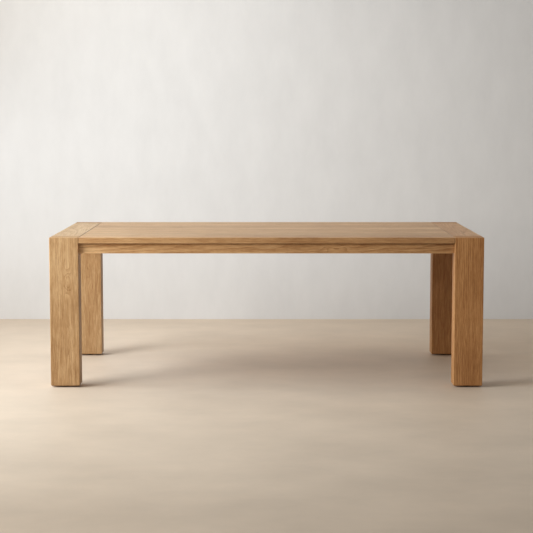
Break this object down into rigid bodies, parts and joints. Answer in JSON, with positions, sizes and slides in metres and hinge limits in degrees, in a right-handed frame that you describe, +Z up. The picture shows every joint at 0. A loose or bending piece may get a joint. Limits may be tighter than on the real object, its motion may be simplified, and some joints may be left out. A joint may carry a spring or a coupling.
{
  "type": "parsons dining table",
  "caption": "Oak dining table: boarded top with end boards, heavy legs flush with its corners, set-back bolted aprons and screw-adjustable levelling feet.",
  "frame": {"origin": "on the floor under the middle of the table", "axes": "+X along the table to the right, the front faces -Y, +Z up"},
  "size_m": [2.18, 1.1, 0.76],
  "materials": {
    "oak_planks": "satin clear lacquer, lengthwise grain",
    "oak_end_boards": "satin clear lacquer, grain from front to back",
    "oak_legs": "satin clear lacquer, upright grain, end grain on top",
    "oak_aprons": "satin clear lacquer, lengthwise grain",
    "oak_rails": "planed, unlacquered",
    "beech_buttons": "planed beech",
    "beech_dowels": "turned beech",
    "zinc_brackets": "zinc plated sheet",
    "zinc_fasteners": "zinc plated",
    "brass_inserts": "turned brass",
    "steel_levellers": "zinc plated thread",
    "nylon_pads": "black moulded nylon",
    "felt_soles": "dark pressed felt"
  },
  "bodies": {
    "table": {"apron_dowels": "beech_dowels", "back_apron": "oak_aprons", "bracket_bolts": "zinc_fasteners", "bracket_screws": "zinc_fasteners", "bracket_washers": "zinc_fasteners", "button_screws": "zinc_fasteners", "cross_rail_left": "oak_rails", "cross_rail_middle": "oak_rails", "cross_rail_right": "oak_rails", "end_board_dowels": "beech_dowels", "end_board_left": "oak_end_boards", "end_board_right": "oak_end_boards", "end_bracket_back_left": "zinc_brackets", "end_bracket_back_right": "zinc_brackets", "end_bracket_front_left": "zinc_brackets", "end_bracket_front_right": "zinc_brackets", "foot_inserts": "brass_inserts", "front_apron": "oak_aprons", "left_end_apron": "oak_aprons", "leg_back_left": "oak_legs", "leg_back_right": "oak_legs", "leg_front_left": "oak_legs", "leg_front_right": "oak_legs", "leg_inserts": "brass_inserts", "long_bracket_back_left": "zinc_brackets", "long_bracket_back_right": "zinc_brackets", "long_bracket_front_left": "zinc_brackets", "long_bracket_front_right": "zinc_brackets", "rail_screws": "zinc_fasteners", "right_end_apron": "oak_aprons", "tongue_pegs": "beech_dowels", "top_buttons": "beech_buttons", "top_plank_1": "oak_planks", "top_plank_2": "oak_planks", "top_plank_3": "oak_planks", "top_plank_4": "oak_planks", "top_plank_5": "oak_planks", "top_plank_6": "oak_planks", "top_plank_7": "oak_planks", "top_plank_8": "oak_planks"},
    "foot_front_left": {"foot_pad_front_left": "nylon_pads", "foot_sole_front_left": "felt_soles"},
    "screw_front_left": {"foot_screw_front_left": "steel_levellers"},
    "foot_front_right": {"foot_pad_front_right": "nylon_pads", "foot_sole_front_right": "felt_soles"},
    "screw_front_right": {"foot_screw_front_right": "steel_levellers"},
    "foot_back_left": {"foot_pad_back_left": "nylon_pads", "foot_sole_back_left": "felt_soles"},
    "screw_back_left": {"foot_screw_back_left": "steel_levellers"},
    "foot_back_right": {"foot_pad_back_right": "nylon_pads", "foot_sole_back_right": "felt_soles"},
    "screw_back_right": {"foot_screw_back_right": "steel_levellers"}
  },
  "joints": [
    {"name": "foot_front_left_lift", "type": "slide", "parent": "table", "child": "foot_front_left", "axis": [0, 0, -1], "range_m": [-0.005, 0.015]},
    {"name": "screw_front_left_turn", "type": "hinge", "parent": "foot_front_left", "child": "screw_front_left", "pos_m": [-1.017, -0.501, 0.03], "axis": [0, 0, -1], "range_deg": [-1201, 3601]},
    {"name": "foot_front_right_lift", "type": "slide", "parent": "table", "child": "foot_front_right", "axis": [0, 0, -1], "range_m": [-0.005, 0.015]},
    {"name": "screw_front_right_turn", "type": "hinge", "parent": "foot_front_right", "child": "screw_front_right", "pos_m": [1.017, -0.501, 0.03], "axis": [0, 0, -1], "range_deg": [-1201, 3601]},
    {"name": "foot_back_left_lift", "type": "slide", "parent": "table", "child": "foot_back_left", "axis": [0, 0, -1], "range_m": [-0.005, 0.015]},
    {"name": "screw_back_left_turn", "type": "hinge", "parent": "foot_back_left", "child": "screw_back_left", "pos_m": [-1.017, 0.501, 0.03], "axis": [0, 0, -1], "range_deg": [-1201, 3601]},
    {"name": "foot_back_right_lift", "type": "slide", "parent": "table", "child": "foot_back_right", "axis": [0, 0, -1], "range_m": [-0.005, 0.015]},
    {"name": "screw_back_right_turn", "type": "hinge", "parent": "foot_back_right", "child": "screw_back_right", "pos_m": [1.017, 0.501, 0.03], "axis": [0, 0, -1], "range_deg": [-1201, 3601]}
  ],
  "couplings": [
    {"joint": "screw_front_left_turn", "follows": "foot_front_left_lift", "rad_per_m": 4188.8},
    {"joint": "screw_front_right_turn", "follows": "foot_front_right_lift", "rad_per_m": 4188.8},
    {"joint": "screw_back_left_turn", "follows": "foot_back_left_lift", "rad_per_m": 4188.8},
    {"joint": "screw_back_right_turn", "follows": "foot_back_right_lift", "rad_per_m": 4188.8}
  ]
}
